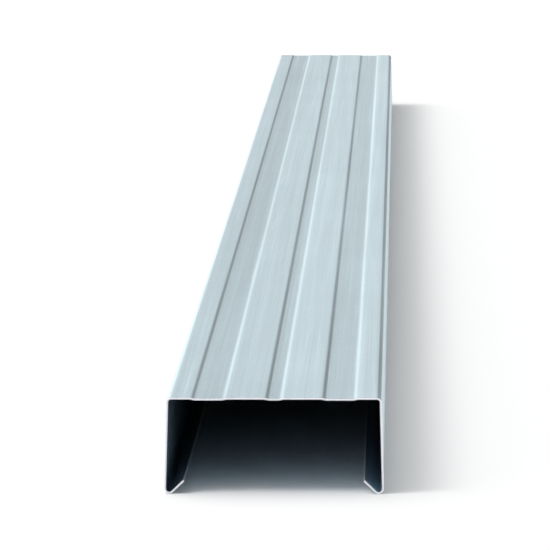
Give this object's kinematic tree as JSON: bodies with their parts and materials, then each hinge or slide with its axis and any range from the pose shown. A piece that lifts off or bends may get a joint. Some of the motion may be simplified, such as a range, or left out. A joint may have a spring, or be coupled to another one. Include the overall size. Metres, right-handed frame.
{
  "type": "drywall stud",
  "caption": "Roll-formed galvanised steel C-section wall stud with a grooved web, plain flanges and folded-back lips, lying web up.",
  "frame": {"origin": "midway along the stud and midway between its flanges, at the level of the two lip folds that it lies on", "axes": "+Y along the stud, +X across the web, +Z from the lip folds up to the face of the web"},
  "size_m": [0.094, 3.048, 0.0413],
  "materials": {
    "galvanised_steel": "zinc-coated sheet, satin, with fine lengthwise roll-forming streaks"
  },
  "bodies": {
    "root": {"stud": "galvanised_steel"}
  },
  "joints": []
}
